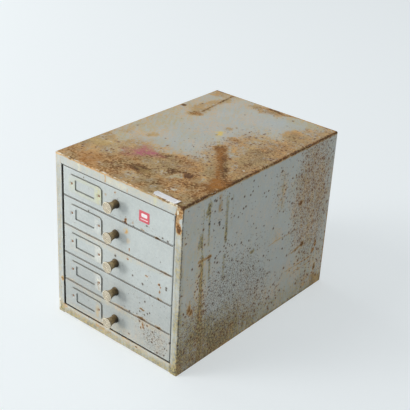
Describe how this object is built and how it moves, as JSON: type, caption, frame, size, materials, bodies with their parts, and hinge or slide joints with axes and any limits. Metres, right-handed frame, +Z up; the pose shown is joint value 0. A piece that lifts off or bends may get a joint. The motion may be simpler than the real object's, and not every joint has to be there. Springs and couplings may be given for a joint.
{
  "type": "drawer cabinet",
  "caption": "Small sheet-steel drawer cabinet: flush drawers on welded runners, each with a riveted label frame and a turned brass knob.",
  "frame": {"origin": "middle of the casing's footprint, on the surface that it stands on", "axes": "+X to the right as seen from the front, +Y from the drawer fronts to the back, +Z up"},
  "size_m": [0.2, 0.3121, 0.2215],
  "materials": {
    "casing_paint": "old pale grey-blue paint, worn, stained and rusting through",
    "drawer_paint": "old pale grey-blue paint with rust spots and worn edges",
    "tray_paint": "dull grey-blue paint, less worn",
    "runner_paint": "dull grey-blue paint rubbed to steel on the ledges",
    "rivet_steel": "rusty steel",
    "knob_brass": "aged brass, brighter on the turned face",
    "screw_steel": "dull zinc-plated steel"
  },
  "bodies": {
    "cabinet": {"shell": "casing_paint", "bottom_pan": "casing_paint", "back_panel": "casing_paint", "left_runner_1": "runner_paint", "right_runner_1": "runner_paint", "left_runner_2": "runner_paint", "right_runner_2": "runner_paint", "left_runner_3": "runner_paint", "right_runner_3": "runner_paint", "left_runner_4": "runner_paint", "right_runner_4": "runner_paint", "left_runner_5": "runner_paint", "right_runner_5": "runner_paint"},
    "drawer_1": {"drawer_1_front": "drawer_paint", "drawer_1_tray": "tray_paint", "drawer_1_label_frame": "drawer_paint", "drawer_1_label_rivets": "rivet_steel", "drawer_1_knob": "knob_brass", "drawer_1_knob_screw": "screw_steel"},
    "drawer_2": {"drawer_2_front": "drawer_paint", "drawer_2_tray": "tray_paint", "drawer_2_label_frame": "drawer_paint", "drawer_2_label_rivets": "rivet_steel", "drawer_2_knob": "knob_brass", "drawer_2_knob_screw": "screw_steel"},
    "drawer_3": {"drawer_3_front": "drawer_paint", "drawer_3_tray": "tray_paint", "drawer_3_label_frame": "drawer_paint", "drawer_3_label_rivets": "rivet_steel", "drawer_3_knob": "knob_brass", "drawer_3_knob_screw": "screw_steel"},
    "drawer_4": {"drawer_4_front": "drawer_paint", "drawer_4_tray": "tray_paint", "drawer_4_label_frame": "drawer_paint", "drawer_4_label_rivets": "rivet_steel", "drawer_4_knob": "knob_brass", "drawer_4_knob_screw": "screw_steel"},
    "drawer_5": {"drawer_5_front": "drawer_paint", "drawer_5_tray": "tray_paint", "drawer_5_label_frame": "drawer_paint", "drawer_5_label_rivets": "rivet_steel", "drawer_5_knob": "knob_brass", "drawer_5_knob_screw": "screw_steel"}
  },
  "joints": [
    {"name": "drawer_1_slide", "type": "slide", "parent": "cabinet", "child": "drawer_1", "axis": [0, -1, 0], "range_m": [0, 0.22]},
    {"name": "drawer_2_slide", "type": "slide", "parent": "cabinet", "child": "drawer_2", "axis": [0, -1, 0], "range_m": [0, 0.22]},
    {"name": "drawer_3_slide", "type": "slide", "parent": "cabinet", "child": "drawer_3", "axis": [0, -1, 0], "range_m": [0, 0.22]},
    {"name": "drawer_4_slide", "type": "slide", "parent": "cabinet", "child": "drawer_4", "axis": [0, -1, 0], "range_m": [0, 0.22]},
    {"name": "drawer_5_slide", "type": "slide", "parent": "cabinet", "child": "drawer_5", "axis": [0, -1, 0], "range_m": [0, 0.22]}
  ]
}
